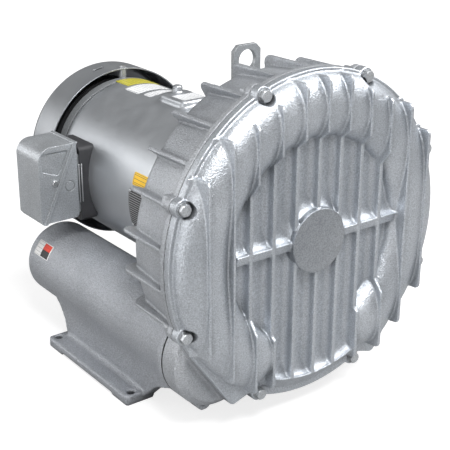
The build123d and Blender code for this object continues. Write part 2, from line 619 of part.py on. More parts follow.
# ================================================================ bearings
def bearing(name, size, y0):
    """Deep groove ball bearing: two rings and a ball set held in its cage."""
    bore, outer, width, ball, count = size
    pitch = (bore + outer) / 2
    mid = y0 + width / 2
    shoulder = 0.45 * ball
    track = turned(Pos(pitch, mid) * Circle(ball + SHAFT_FIT))
    place(name + "_outer_ring", ring(outer, pitch + shoulder, y0, y0 + width) - track)
    place(name + "_inner_ring", ring(pitch - shoulder, bore, y0, y0 + width) - track)
    cage = ring(pitch + shoulder - 0.5, pitch - shoulder + 0.5, mid - ball * 1.15, mid + ball * 1.15)
    balls = []
    for k in range(count):
        x, z = polar(pitch, 360 / count * k)
        balls.append(Pos(x, mid, z) * Sphere(ball - 0.02))
        cage -= Rot(0, -360 / count * k, 0) * radial_rod(ball + 0.1, pitch - ball, pitch + ball, mid)
    place(name + "_balls", cage, *balls)


# ================================================================ motor
def front_shield():
    """Motor end shield on the blower side, with bolt lugs and the lifting ear."""
    y0, y1 = MOTOR_FACE, MOTOR_FACE + SHIELD_T
    bore, outer, width = FRONT_BEARING[:3]
    body = rod(SHELL_R, y0, y1) + rod(outer + 12, y0, FRONT_BEARING_Y + width + 4)
    body += ring(SHELL_R - SHELL_WALL - 0.1, SHELL_R - SHELL_WALL - 10, y1, y1 + 8)
    for x, z in motor_bolt_points():
        body += rod(MOTOR_LUG_R, y0, y1, x, z)
        arm = block(SHELL_R - 22, MOTOR_BOLT_CIRCLE, y0, y1, -MOTOR_LUG_R, MOTOR_LUG_R)
        body += Rot(0, -math.degrees(math.atan2(z, x)), 0) * arm
    body += block(-PLATE_HALF, PLATE_HALF, y0, y1, SHELL_R - 20, PLATE_SEAT_TOP)
    body -= rod(outer + 0.05, FRONT_BEARING_Y, FRONT_BEARING_Y + width + 5)
    body -= rod(outer - 5, y0 - 1, FRONT_BEARING_Y + 1)
    for x, z in motor_bolt_points():
        body -= rod(MOTOR_BOLT_R + FIT_GAP, y0 - 1, y1 + 1, x, z)
    for x in (-PLATE_BOLT_X, PLATE_BOLT_X):
        body -= rod(BOLT_R, y0 - 1, y1 + 1, x, PLATE_BOLT_Z)
    return body


def lifting_plate():
    """Upright flat plate with clipped corners and one round eye."""
    y0 = MOTOR_FACE + SHIELD_T
    bottom = SHELL_R + 2
    outline = Pos(0, (bottom + PLATE_TOP) / 2) * Rectangle(2 * PLATE_HALF, PLATE_TOP - bottom)
    outline = chamfer([v for v in outline.vertices() if v.Y > PLATE_TOP - 1], 7.0)
    plate = slab(outline, y0, y0 + PLATE_T)
    plate -= rod(PLATE_HOLE_R, y0 - 1, y0 + PLATE_T + 1, 0, PLATE_TOP - PLATE_HOLE_DROP)
    for x in (-PLATE_BOLT_X, PLATE_BOLT_X):
        plate -= rod(BOLT_R + FIT_GAP, y0 - 1, y0 + PLATE_T + 1, x, PLATE_BOLT_Z)
    return plate


def rear_hex_bolt(radius, flats, head, y_seat, length, x, z):
    """Hexagon bolt with its head behind the seat, its shank running forward."""
    return Pos(x, y_seat, z) * Rot(0, 0, 180) * hex_bolt(radius, flats, head, 0, length)


def motor_shell():
    """Rolled motor frame with the raised pad and stub on top."""
    y0 = MOTOR_FACE + SHIELD_T
    shell = rod(SHELL_R, y0, SHELL_REAR)
    pad = block(-PAD_HALF, PAD_HALF, PAD_Y0, PAD_Y1, SHELL_R - 20, PAD_TOP)
    pad = fillet(pad.edges().filter_by(Axis.Z), 10.0)
    pad = fillet(pad.faces().sort_by(Axis.Z)[-1].edges(), 4.0)
    shell += pad
    shell += Pos(0, STUB_Y, PAD_TOP) * Cylinder(STUB_R, STUB_H, align=(Align.CENTER, Align.CENTER, Align.MIN))
    shell -= rod(SHELL_R - SHELL_WALL, y0 - 1, SHELL_REAR + 1)
    return shell


def rear_shield():
    """Motor end shield on the fan side, with four standoffs that carry the fan cover."""
    y0, y1 = SHELL_REAR, SHELL_REAR + REAR_SHIELD_T
    bore, outer, width = REAR_BEARING[:3]
    body = rod(SHELL_R, y0, y1) + ring(SHELL_R - SHELL_WALL - 0.1, SHELL_R - SHELL_WALL - 10, y0 - 8, y0)
    body += rod(outer + 10, REAR_BEARING_Y - 2, y1)
    standoff = radial_rod(STANDOFF_R, SHELL_R - 30, FAN_COVER_R - FAN_COVER_WALL - FIT_GAP / 2, FAN_SCREW_Y)
    for piece in around(standoff, fan_screw_angles()):
        body += piece
    body -= rod(outer + 0.05, REAR_BEARING_Y - 3, REAR_BEARING_Y + width + 2)
    body -= rod(outer - 4, REAR_BEARING_Y, y1 + 1)
    for hole in around(radial_rod(2.5, FAN_COVER_R - 16, FAN_COVER_R, FAN_SCREW_Y), fan_screw_angles()):
        body -= hole
    return body


def fan_screw_angles():
    return [FAN_SCREW_START + 90 * k for k in range(4)]


def radial_rod(radius, r0, r1, y):
    bar = Cylinder(radius, r1 - r0, align=(Align.CENTER, Align.CENTER, Align.MIN))
    return Pos(r0, y, 0) * Rot(0, 90, 0) * bar


def fan_cover():
    """Pressed cowl with a rounded rear edge, a radial air grille and a drip slot."""
    radius, wall, edge = FAN_COVER_R, FAN_COVER_WALL, FAN_COVER_EDGE
    cup = rod(radius, FAN_COVER_FRONT, FAN_COVER_REAR)
    cup = fillet(cup.edges().filter_by(GeomType.CIRCLE).sort_by(Axis.Y)[-1], edge)
    core = rod(radius - wall, FAN_COVER_FRONT - 1, FAN_COVER_REAR - wall)
    core = fillet(core.edges().filter_by(GeomType.CIRCLE).sort_by(Axis.Y)[-1], edge - wall)
    cup -= core
    slot = block(GRILLE_R0, GRILLE_R1, FAN_COVER_REAR - 8, FAN_COVER_REAR + 1,
                 -GRILLE_SLOT / 2, GRILLE_SLOT / 2)
    for cut in around(slot, [360 / GRILLE_SLOTS * k for k in range(GRILLE_SLOTS)]):
        cup -= cut
    for hole in around(radial_rod(3.3, radius - 6, radius + 2, FAN_SCREW_Y), fan_screw_angles()):
        cup -= hole
    drip = extrude(Pos(0, DRIP_Y) * Ellipse(DRIP_LENGTH / 2, DRIP_WIDTH / 2), radius + 4)
    drip = (Rot(0, 90, 0) * drip) & block(radius - 8, radius + 4, FAN_COVER_FRONT, FAN_COVER_REAR, -30, 30)
    for cut in around(drip, DRIP_ANGLES):
        cup -= cut
    return cup


def cooling_fan():
    """Radial cooling fan: hub, disc and straight blades."""
    y0 = FAN_Y
    fan = ring(24, FAN_SEAT_R + SHAFT_FIT, y0, y0 + FAN_HUB) + ring(FAN_R, 20, y0, y0 + 4)
    blade = block(22, FAN_R, y0, y0 + 24, -1.5, 1.5)
    for vane in around(blade, [360 / FAN_BLADES * k for k in range(FAN_BLADES)]):
        fan += vane - rod(23, y0 - 1, y0 + 40)
    return fan


def motor_parts():
    y1 = MOTOR_FACE + SHIELD_T
    place("front_end_shield", front_shield())
    place("lifting_plate", lifting_plate())
    bolts = [rear_hex_bolt(BOLT_R - 0.05, BOLT_AF, BOLT_HEAD, y1 + PLATE_T, PLATE_T + SHIELD_T - 1,
                           x, PLATE_BOLT_Z) for x in (-PLATE_BOLT_X, PLATE_BOLT_X)]
    place("lifting_plate_bolts", *bolts)
    bolts = [rear_hex_bolt(MOTOR_BOLT_R - 0.05, MOTOR_BOLT_AF, MOTOR_BOLT_HEAD, y1, SHIELD_T + 15, x, z)
             for x, z in motor_bolt_points()]
    place("motor_bolts", *bolts)
    place("motor_shell", motor_shell())
    place("rear_end_shield", rear_shield())
    place("stator_core", ring(SHELL_R - SHELL_WALL - 0.05, STATOR_BORE, STATOR_Y0, STATOR_Y1))
    windings = []
    front, rear = STATOR_Y0 - WINDING_OVERHANG, STATOR_Y1 + WINDING_OVERHANG
    for start, end in ((front, STATOR_Y0), (STATOR_Y1, rear)):
        coil = ring(STATOR_BORE + 34, STATOR_BORE + 6, start, end)
        windings.append(fillet(coil.edges().filter_by(GeomType.CIRCLE), 6.0))
    place("stator_windings", *windings)
    place("cooling_fan", cooling_fan())
    place("fan_retaining_ring", ring(16, FAN_SEAT_R + SHAFT_FIT, FAN_Y + FAN_HUB, FAN_Y + FAN_HUB + 2))
    place("fan_cover", fan_cover())
    screws = []
    for screw in around(radial_rod(2.45, FAN_COVER_R - 15, FAN_COVER_R, FAN_SCREW_Y)
                        + radial_rod(FAN_SCREW_HEAD, FAN_COVER_R, FAN_COVER_R + 3, FAN_SCREW_Y),
                        fan_screw_angles()):
        screws.append(screw)
    place("fan_cover_screws", *screws)
    spring_y = REAR_BEARING_Y + REAR_BEARING[2]
    place("preload_washer", ring(REAR_BEARING[1] - 0.3, REAR_BEARING[1] - 4, spring_y + 0.2, spring_y + 1.8))
    place("shaft_seal", ring(SEAL_R - 0.05, SPACER_R + 0.05, wall_y + 1, wall_y + CENTRE_WALL - 1))
    bearing("front_bearing", FRONT_BEARING, FRONT_BEARING_Y)
    bearing("rear_bearing", REAR_BEARING, REAR_BEARING_Y)


# ================================================================ conduit box
def box_section():
    """Front view of the closed conduit box in (x, z), on the motor's left side."""
    face = Pos(-(BOX_X0 + BOX_X1) / 2, (BOX_Z0 + BOX_Z1) / 2) * Rectangle(BOX_X1 - BOX_X0, BOX_Z1 - BOX_Z0)
    face = fillet([v for v in face.vertices() if v.X < -BOX_X0 - 1 and v.Y > 0], BOX_CORNER)
    return fillet([v for v in face.vertices() if v.Y < BOX_Z0 + 1], 5.0)


def seam_line(shift):
    """The sloping seam's two end points in (x, z), moved sideways."""
    slope = (BOX_X1 - BOX_X0 - 9.5) / (BOX_Z1 - BOX_Z0)
    low = (-BOX_X1 + 7 - 10 * slope + shift, BOX_Z0 - 10)
    high = (-BOX_X0 - 2.5 + 10 * slope + shift, BOX_Z1 + 10)
    return low, high


def seam_half(shift):
    """Everything on the cover's side of the seam moved sideways."""
    low, high = seam_line(shift)
    return make_face(Polyline(low, high, (-BOX_X1 - 40, high[1]), (-BOX_X1 - 40, low[1]), close=True))


def box_panel():
    """Recessed field on the cover's front and rear faces."""
    low, high = seam_line(-LIP - 7)
    field = make_face(Polyline((-BOX_X1 + 5, 26), (-BOX_X1 + 5, BOX_Z1 - 8), (high[0], BOX_Z1 - 8),
                               (-BOX_X0 - 30, 17), close=True)) & seam_half(-LIP - 3)
    return fillet(field.vertices(), 3.0)


def lid_screw(y_seat, turn):
    """Pan head screw whose head lies on the box cover."""
    screw = rod(LID_SCREW_R - 0.05, 0, BOX_WALL + 8) + rod(LID_SCREW_HEAD, -2.2, 0)
    rim = screw.edges().filter_by(GeomType.CIRCLE).sort_by(Axis.Y)[0]
    return Pos(LID_SCREW_X, y_seat, LID_SCREW_Z) * Rot(0, 0, turn) * fillet(rim, 1.2)


def conduit_parts():
    outer = box_section()
    inner = offset(outer, -BOX_WALL)
    shell = slab(outer, BOX_Y0, BOX_Y1)
    band = seam_half(LIP) - seam_half(-LIP)
    shell += slab(offset(outer, LIP_PROUD) & band, BOX_Y0 - LIP_PROUD, BOX_Y1 + LIP_PROUD)
    shell -= slab(inner, BOX_Y0 + BOX_WALL, BOX_Y1 - BOX_WALL)
    cover = shell & slab(seam_half(-0.05), BOX_Y0 - 9, BOX_Y1 + 9)
    base = shell - slab(seam_half(0.05), BOX_Y0 - 9, BOX_Y1 + 9)
    panel = box_panel()
    for y0, y1 in ((BOX_Y0 - 1, BOX_Y0 + PANEL_DEPTH), (BOX_Y1 - PANEL_DEPTH, BOX_Y1 + 1)):
        cover -= slab(panel, y0, y1)
        base -= ring(KNOCKOUT_R, KNOCKOUT_R - 1, y0, y1 - PANEL_DEPTH / 2, KNOCKOUT_X, KNOCKOUT_Z)
    for y0, y1 in ((BOX_Y0, BOX_Y0 + BOX_WALL + 8), (BOX_Y1 - BOX_WALL - 8, BOX_Y1)):
        cover += rod(LID_SCREW_HEAD + 1, y0, y1, LID_SCREW_X, LID_SCREW_Z)
        cover -= rod(LID_SCREW_R, y0 - 1, y1 + 1, LID_SCREW_X, LID_SCREW_Z)
    mid_y = (BOX_Y0 + BOX_Y1) / 2
    base += block(-BOX_X0 - 1, -BOX_X0 + COLLAR, BOX_Y0 + 4, BOX_Y1 - 4, NECK_Z0 + 14, NECK_Z1 - 10)
    wire_hole = Pos(-BOX_X0, mid_y, 0) * Rot(0, 90, 0) * Cylinder(WIRE_R, 120)
    place("conduit_box_base", base - wire_hole)
    place("conduit_box_cover", cover)
    place("conduit_cover_screws", lid_screw(BOX_Y0, 0), lid_screw(BOX_Y1, 180))
    saddle = block(-BOX_X0 + COLLAR, -SHELL_R + 12, NECK_Y0, NECK_Y1, NECK_Z0, NECK_Z1)
    saddle = fillet(saddle.edges().filter_by(Axis.X), 6.0)
    saddle -= rod(SHELL_R + 0.05, NECK_Y0 - 1, NECK_Y1 + 1)
    place("conduit_neck", saddle - wire_hole)


def build():
    place("front_cover", front_cover())
    cover_fasteners()
    place("rear_housing", rear_housing())
    muffler_parts()
    rotor_parts()
    motor_parts()
    conduit_parts()


build()
os.makedirs("parts", exist_ok=True)
for name, shape in PARTS.items():
    export_step(shape, "parts/" + name + ".step")
print(len(PARTS), "parts written")
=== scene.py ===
# %% [markdown]
# # A side channel blower, dressed for a studio picture
#
# The solid parts of the blower come packed as a fixed frame: every casting, screw and
# bearing already has its size and place. They could be modelled again here, but then
# the picture and the CAD would drift apart. So this lesson keeps them, gives them their
# finish, adds the small things that a CAD model leaves out, and lights the machine.

# %% Load the frame
import json
import math

import bmesh
import bpy
from mathutils import Matrix, Vector


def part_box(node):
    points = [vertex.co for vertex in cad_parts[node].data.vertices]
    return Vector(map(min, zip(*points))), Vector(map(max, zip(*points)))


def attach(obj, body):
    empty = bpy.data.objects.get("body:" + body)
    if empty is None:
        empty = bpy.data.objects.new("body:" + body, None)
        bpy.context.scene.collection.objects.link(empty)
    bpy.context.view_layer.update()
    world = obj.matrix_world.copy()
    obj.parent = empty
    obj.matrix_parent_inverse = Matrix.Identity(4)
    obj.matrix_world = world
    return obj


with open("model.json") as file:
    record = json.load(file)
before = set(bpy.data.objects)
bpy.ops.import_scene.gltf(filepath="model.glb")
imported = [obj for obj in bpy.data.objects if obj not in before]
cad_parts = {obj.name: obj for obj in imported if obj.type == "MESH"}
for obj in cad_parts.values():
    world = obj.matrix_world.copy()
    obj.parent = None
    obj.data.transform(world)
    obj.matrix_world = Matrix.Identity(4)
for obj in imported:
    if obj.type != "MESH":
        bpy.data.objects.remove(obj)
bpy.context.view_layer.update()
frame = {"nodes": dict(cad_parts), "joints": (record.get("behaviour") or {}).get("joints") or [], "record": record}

nodes = frame["nodes"]
scene = bpy.context.scene

# %% [markdown]
# ## The machine's own lines
#
# Everything that is added later sits on a few lines of the real machine: the shaft, the
# round motor shell and the tube of the left silencer. Typing their coordinates again and
# again invites mistakes. The shaft's height is read from the rotor's joint and the shell's
# radius from the shell's own box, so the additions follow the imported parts.

# %% Shaft, shell and tube
rotor_joint = next(joint for joint in frame["joints"] if joint["name"] == "rotor_spin")
SHAFT_Z = rotor_joint["pos_m"][2]
shell_low, shell_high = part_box("motor_shell")
SHELL_R = round(shell_high.x, 4)
SHELL = (0.0, SHAFT_Z)                      # axis of the shell: x and z
FRONT_Y = round(shell_low.y, 4) - 0.142     # plane of the cover's central fins
TUBE = (-0.1205, SHAFT_Z - 0.1385)          # axis of the left silencer's tube
TUBE_R = 0.054
PAD_TOP = SHAFT_Z + 0.121                   # top of the raised pad on the motor
BOSS_R = 0.0415                             # round boss in the middle of the cover


def station(millimetres):
    """Y of a place along the shaft, counted in mm from the cover's central fins."""
    return FRONT_Y + millimetres / 1000


print("shaft at z", SHAFT_Z, "shell radius", SHELL_R, "fin plane at y", round(FRONT_Y, 4))

# %% [markdown]
# ## The camera
#
# A camera needs a direction, a distance and a lens. It could be placed by typing a
# location and three angles, but nobody can read those. Written as azimuth and elevation
# round a point, the numbers mean something to a person, and one small function turns
# them into the camera's matrix. Azimuth 0 looks along +Y, at the finned cover.

# %% Camera
CAMERA_AZIMUTH = -36.93
CAMERA_ELEVATION = 21.54
CAMERA_ROLL = 0.2
CAMERA_DISTANCE = 1.2891
CAMERA_LENS = 85.44
CAMERA_AIM = Vector((-0.0858, -0.1787, 0.2517))


def look_round(azimuth, elevation, roll, distance, aim):
    """World matrix of a camera that looks at aim from azimuth and elevation, in degrees."""
    turn = math.radians(azimuth)
    lift = math.radians(elevation)
    level = math.cos(lift)
    back = Vector((math.sin(turn) * level, -math.cos(turn) * level, math.sin(lift)))
    right = (-back).cross(Vector((0, 0, 1))).normalized()
    up = back.cross(right)
    axes = Matrix((right, up, back)).transposed().to_4x4()
    tilt = Matrix.Rotation(math.radians(roll), 4, "Z")
    return Matrix.Translation(aim + back * distance) @ axes @ tilt


camera_data = bpy.data.cameras.new("studio_camera")
camera_data.lens = CAMERA_LENS
camera_data.sensor_width = 36.0
camera = bpy.data.objects.new("studio_camera", camera_data)
camera.matrix_world = look_round(CAMERA_AZIMUTH, CAMERA_ELEVATION, CAMERA_ROLL,
                                 CAMERA_DISTANCE, CAMERA_AIM)
scene.collection.objects.link(camera)
scene.camera = camera
print("camera at", tuple(round(v, 3) for v in camera.location))

# %% [markdown]
# ## Materials from small steps
#
# Every finish below is procedural: no picture is wrapped round a part, so nothing needs
# unwrapping and no seam shows. Node trees get long, though. A few helpers keep them
# short: each one adds a node, wires it up and hands back its output.

# %% Adding nodes
def add_node(tree, kind, inputs=(), **settings):
    """New node with its settings made and its inputs filled by number or by link."""
    node = tree.nodes.new(kind)
    for key, value in settings.items():
        setattr(node, key, value)
    for key, value in dict(inputs).items():
        if isinstance(value, bpy.types.NodeSocket):
            tree.links.new(value, node.inputs[key])
        else:
            node.inputs[key].default_value = value
    return node


def maths(tree, operation, first, second=0.0):
    """Output of a maths node."""
    return add_node(tree, "ShaderNodeMath", {0: first, 1: second}, operation=operation).outputs[0]


def coordinates(tree, kind="Object"):
    """Place on the surface: in metres, or as the mesh's own UV."""
    return add_node(tree, "ShaderNodeTexCoord").outputs[kind]


def new_material(name):
    """Empty material, its node tree and its principled shader."""
    material = bpy.data.materials.new(name)
    material.use_nodes = True
    return material, material.node_tree, material.node_tree.nodes["Principled BSDF"]


def finish_shader(tree, shader, **inputs):
    """Links or sets the shader's inputs, named with underscores."""
    for key, value in inputs.items():
        socket = shader.inputs[key.replace("_", " ")]
        if isinstance(value, bpy.types.NodeSocket):
            tree.links.new(value, socket)
        else:
            socket.default_value = value


print("node helpers ready")

# %% [markdown]
# ## Noise and colour
#
# Real paint is never one flat colour: it was mixed, sprayed and dried unevenly. Two
# colours mixed by slow noise give those patches, and a noise value that scales the
# colour gives specks. Blender's noise stays close to its middle, so spread() stretches
# the part of the range that is really used.

# %% Noise and colour helpers
def noise(tree, scale, detail=3.0):
    """Noise value, about 0.3 to 0.7, with this many features per metre."""
    inputs = {"Vector": coordinates(tree), "Scale": scale, "Detail": detail}
    return add_node(tree, "ShaderNodeTexNoise", inputs).outputs[0]


def spread(tree, value, low, high):
    """The middle range of a noise value stretched to low ... high."""
    inputs = {"Value": value, "From Min": 0.3, "From Max": 0.7, "To Min": low, "To Max": high}
    return add_node(tree, "ShaderNodeMapRange", inputs).outputs[0]


def scaled(tree, colour, factor):
    """Colour made lighter or darker by a factor."""
    inputs = {0: colour, "Scale": factor}
    return add_node(tree, "ShaderNodeVectorMath", inputs, operation="SCALE").outputs[0]


def blend_colours(tree, share, first, second):
    """Colour that goes from first to second as share goes from 0 to 1."""
    mix = add_node(tree, "ShaderNodeMix", {0: share}, data_type="RGBA")
    for socket, colour in ((mix.inputs[6], first), (mix.inputs[7], second)):
        if isinstance(colour, bpy.types.NodeSocket):
            tree.links.new(colour, socket)
        else:
            socket.default_value = (*colour, 1)
    return mix.outputs[2]


print("noise and colour helpers ready")

# %% [markdown]
# ## Grain and soft edges
#
# Sand grain is far too fine to model, so it is a bump: a height that only bends the
# light. Its depth is given in metres, like everything else. Edges get a bevel normal,
# because no real casting or sheet has a knife edge, and a bevel modifier on hundreds
# of fins and holes would cost many faces for a line of light.

# %% Bump helpers
def raised(tree, height, depth, below=None):
    """Bump normal: height 0 ... 1 stands for this depth in metres."""
    inputs = {"Height": height, "Distance": depth, "Strength": 1.0}
    if below is not None:
        inputs["Normal"] = below
    return add_node(tree, "ShaderNodeBump", inputs).outputs[0]


def soft_edge(tree, radius):
    """Normal that rounds the edges by this radius in metres."""
    return add_node(tree, "ShaderNodeBevel", {"Radius": radius}, samples=6).outputs[0]


print("bump helpers ready")

# %% [markdown]
# ## Painted castings
#
# The cover, the housing and the silencers are sand castings under silver paint. Two
# sizes of grain make the sand and slow noise makes the paint's patches. Corners and
# creases get painted shade: ambient occlusion measures how hidden a point is, and the
# colour is made darker there. The flat boss in the middle of the cover gets painted
# shade too, a darker colour on that face. A mask by distance from the shaft's line
# finds it, so the cover needs no second material slot.

# %% Cast paint
SPECKS = (0.77, 1.19)       # darkest and lightest speck of the paint
SHADE_REACH = 0.012        # how near a neighbour has to be for painted shade in a corner
SHADE_POWER = 0.60
BOSS_SHADE_DEPTH = 0.30           # how much darker the painted shade makes the boss face


def round_mask(tree, radius, centre_z):
    """1 inside a cylinder of this radius round a line along Y at x 0, 0 outside it."""
    flat = {0: coordinates(tree), 1: (1, 0, 1)}
    across = add_node(tree, "ShaderNodeVectorMath", flat, operation="MULTIPLY").outputs[0]
    ends = {0: across, 1: (0, 0, centre_z)}
    away = add_node(tree, "ShaderNodeVectorMath", ends, operation="DISTANCE").outputs["Value"]
    return maths(tree, "LESS_THAN", away, radius)


def cast_paint_and_shade(name, light, dark, metallic, roughness, grain, pits, edge, shaded_boss=None):
    """Paint over a sand casting, with painted shade in its corners. Grain and pits are depths in metres,
    shaded_boss is the (radius, z) of a round face given painted shade.
    """
    material, tree, shader = new_material(name)
    patches = spread(tree, noise(tree, 9.0), 0.0, 1.0)
    colour = blend_colours(tree, patches, dark, light)
    colour = scaled(tree, colour, spread(tree, noise(tree, 620.0, 2.0), *SPECKS))
    # Painted shade: ambient occlusion darkens the colour in corners and creases.
    hidden = add_node(tree, "ShaderNodeAmbientOcclusion", {"Distance": SHADE_REACH}, samples=8)
    corner = maths(tree, "POWER", hidden.outputs["AO"], SHADE_POWER)
    # Painted shade: a mask makes the round boss face darker.
    if shaded_boss:
        boss_shade_share = maths(tree, "MULTIPLY", round_mask(tree, *shaded_boss), BOSS_SHADE_DEPTH)
        corner = maths(tree, "MULTIPLY", corner, maths(tree, "SUBTRACT", 1.0, boss_shade_share))
    colour = scaled(tree, colour, corner)
    normal = soft_edge(tree, edge)
    normal = raised(tree, noise(tree, 150.0, 2.0), pits, normal)
    normal = raised(tree, noise(tree, 560.0, 2.0), grain, normal)
    gloss = spread(tree, noise(tree, 40.0), roughness - 0.05, roughness + 0.07)
    finish_shader(tree, shader, Base_Color=colour, Metallic=metallic, Roughness=gloss,
                  Normal=normal)
    return material


silver_cast = cast_paint_and_shade("silver_cast_paint", (0.63, 0.66, 0.70), (0.50, 0.53, 0.57),
                          metallic=0.80, roughness=0.39, grain=0.0007, pits=0.0003,
                          edge=0.0010, shaded_boss=(BOSS_R, SHAFT_Z))
silver_drum = cast_paint_and_shade("silver_drum_paint", (0.55, 0.57, 0.60), (0.44, 0.46, 0.49),
                          metallic=0.72, roughness=0.45, grain=0.0009, pits=0.0005, edge=0.0012)
silver_tube = cast_paint_and_shade("silver_tube_paint", (0.51, 0.53, 0.565), (0.43, 0.448, 0.48),
                          metallic=0.68, roughness=0.48, grain=0.0012, pits=0.0011, edge=0.0012)
silver_bolt = cast_paint_and_shade("silver_bolt_paint", (0.62, 0.64, 0.66), (0.50, 0.52, 0.54),
                          metallic=0.72, roughness=0.36, grain=0.0001, pits=0.0001, edge=0.0005)
shield_grey = cast_paint_and_shade("shield_grey_paint", (0.40, 0.415, 0.43), (0.32, 0.335, 0.35),
                          metallic=0.5, roughness=0.40, grain=0.00012, pits=0.0004, edge=0.0012)
box_grey = cast_paint_and_shade("conduit_silver_paint", (0.65, 0.675, 0.705), (0.50, 0.525, 0.55),
                       metallic=0.74, roughness=0.40, grain=0.0005, pits=0.0006, edge=0.0012)
bare_casting = cast_paint_and_shade("bare_aluminium", (0.72, 0.73, 0.74), (0.60, 0.61, 0.62),
                           metallic=0.9, roughness=0.40, grain=0.0001, pits=0.0003, edge=0.0008)
print("cast paints:", [material.name for material in bpy.data.materials])

# %% [markdown]
# ## Sprayed enamel
#
# The motor's shell and cowl are smooth sheet and tube under sprayed enamel. Up close
# such enamel has an orange skin, a shallow even bump, and its gloss wanders a little.
# The same function, with almost no skin, makes the zinc of the small screws.

# %% Enamel and zinc
def enamel(name, light, dark, metallic, roughness, peel, edge):
    """Sprayed enamel: smooth, with a faint orange skin."""
    material, tree, shader = new_material(name)
    colour = blend_colours(tree, spread(tree, noise(tree, 14.0), 0.0, 1.0), dark, light)
    normal = raised(tree, noise(tree, 260.0, 1.0), peel, soft_edge(tree, edge))
    gloss = spread(tree, noise(tree, 55.0), roughness - 0.04, roughness + 0.05)
    finish_shader(tree, shader, Base_Color=colour, Metallic=metallic, Roughness=gloss,
                  Normal=normal)
    return material


motor_grey = enamel("motor_grey_enamel", (0.52, 0.54, 0.565), (0.46, 0.48, 0.505),
                    metallic=0.80, roughness=0.41, peel=0.00010, edge=0.0010)
cowl_grey = enamel("cowl_grey_enamel", (0.44, 0.455, 0.475), (0.37, 0.385, 0.405),
                   metallic=0.70, roughness=0.36, peel=0.00014, edge=0.0009)
zinc = enamel("zinc_plate", (0.66, 0.67, 0.68), (0.52, 0.53, 0.55),
              metallic=0.9, roughness=0.33, peel=0.00003, edge=0.0005)
print("enamels:", motor_grey.name, cowl_grey.name, zinc.name)

# %% [markdown]
# ## Turned metal
#
# The shaft and the bearings are ground, the rotor and stator are stacks of thin sheets,
# and the windings are bundles of varnished wire. All three show fine lines round the
# shaft. A wave texture along Y draws such lines, wide or narrow, and a little distortion
# keeps them from looking printed.

# %% Ground steel, sheets and wire
def turned_metal(name, light, dark, roughness, lines, depth):
    """Metal with fine lines round the shaft: lines per metre and their depth in metres."""
    material, tree, shader = new_material(name)
    colour = blend_colours(tree, spread(tree, noise(tree, 70.0), 0.0, 1.0), dark, light)
    inputs = {"Vector": coordinates(tree), "Scale": lines, "Distortion": 0.6}
    tool = add_node(tree, "ShaderNodeTexWave", inputs, bands_direction="Y").outputs["Fac"]
    normal = raised(tree, tool, depth, soft_edge(tree, 0.0004))
    gloss = spread(tree, noise(tree, 300.0), roughness - 0.05, roughness + 0.08)
    finish_shader(tree, shader, Base_Color=colour, Metallic=1.0, Roughness=gloss, Normal=normal)
    return material


ground_steel = turned_metal("ground_steel", (0.60, 0.60, 0.61), (0.50, 0.50, 0.52),
                            roughness=0.28, lines=900.0, depth=0.00001)
sheet_stack = turned_metal("stacked_sheets", (0.34, 0.34, 0.36), (0.24, 0.24, 0.26),
                           roughness=0.45, lines=500.0, depth=0.0002)
varnished_wire = turned_metal("varnished_wire", (0.55, 0.26, 0.11), (0.40, 0.17, 0.06),
                              roughness=0.30, lines=260.0, depth=0.0004)
print("metals:", ground_steel.name, sheet_stack.name, varnished_wire.name)

# %% [markdown]
# ## Rubber, plastic, gasket sheet and foam
#
# The soft and dull parts hold no metal: their grain alone tells them apart. Noise suits
# rubber and pressed sheet, while open foam needs cells, which a Voronoi texture gives.

# %% Dull matter
def dull_matter(name, light, dark, roughness, size, depth, cells=False):
    """Soft or dull stuff: size counts the grains per metre, depth is in metres."""
    material, tree, shader = new_material(name)
    colour = blend_colours(tree, spread(tree, noise(tree, 60.0), 0.0, 1.0), dark, light)
    if cells:
        inputs = {"Vector": coordinates(tree), "Scale": size}
        grain = add_node(tree, "ShaderNodeTexVoronoi", inputs).outputs[0]
    else:
        grain = noise(tree, size)
    gloss = spread(tree, noise(tree, 90.0), roughness - 0.08, roughness + 0.08)
    normal = raised(tree, grain, depth, soft_edge(tree, 0.0006))
    finish_shader(tree, shader, Base_Color=colour, Roughness=gloss, Normal=normal)
    return material


gasket_sheet = dull_matter("gasket_sheet", (0.05, 0.05, 0.05), (0.03, 0.03, 0.03),
                           roughness=0.75, size=1500.0, depth=0.00005)
neck_rubber = dull_matter("neck_rubber", (0.045, 0.046, 0.05), (0.03, 0.03, 0.033),
                          roughness=0.55, size=700.0, depth=0.00008)
open_foam = dull_matter("open_foam", (0.10, 0.10, 0.105), (0.05, 0.05, 0.055),
                        roughness=0.95, size=600.0, depth=0.0008, cells=True)
seal_rubber = dull_matter("seal_rubber", (0.03, 0.03, 0.03), (0.02, 0.02, 0.02),
                          roughness=0.5, size=900.0, depth=0.00003)
fan_plastic_and_painted_shade = dull_matter("fan_plastic_and_painted_shade", (0.035, 0.036, 0.038), (0.025, 0.025, 0.027),
                          roughness=0.42, size=500.0, depth=0.00004)
print("finishes in all:", len(bpy.data.materials))

# %% [markdown]
# ## Who wears what
#
# Each part could be dressed by its own line of code. A table from part to finish is
# easier to read and to change. Parts that aren't named fall back on their material slot
# in the record, so one that is added to the CAD later never stays bare.

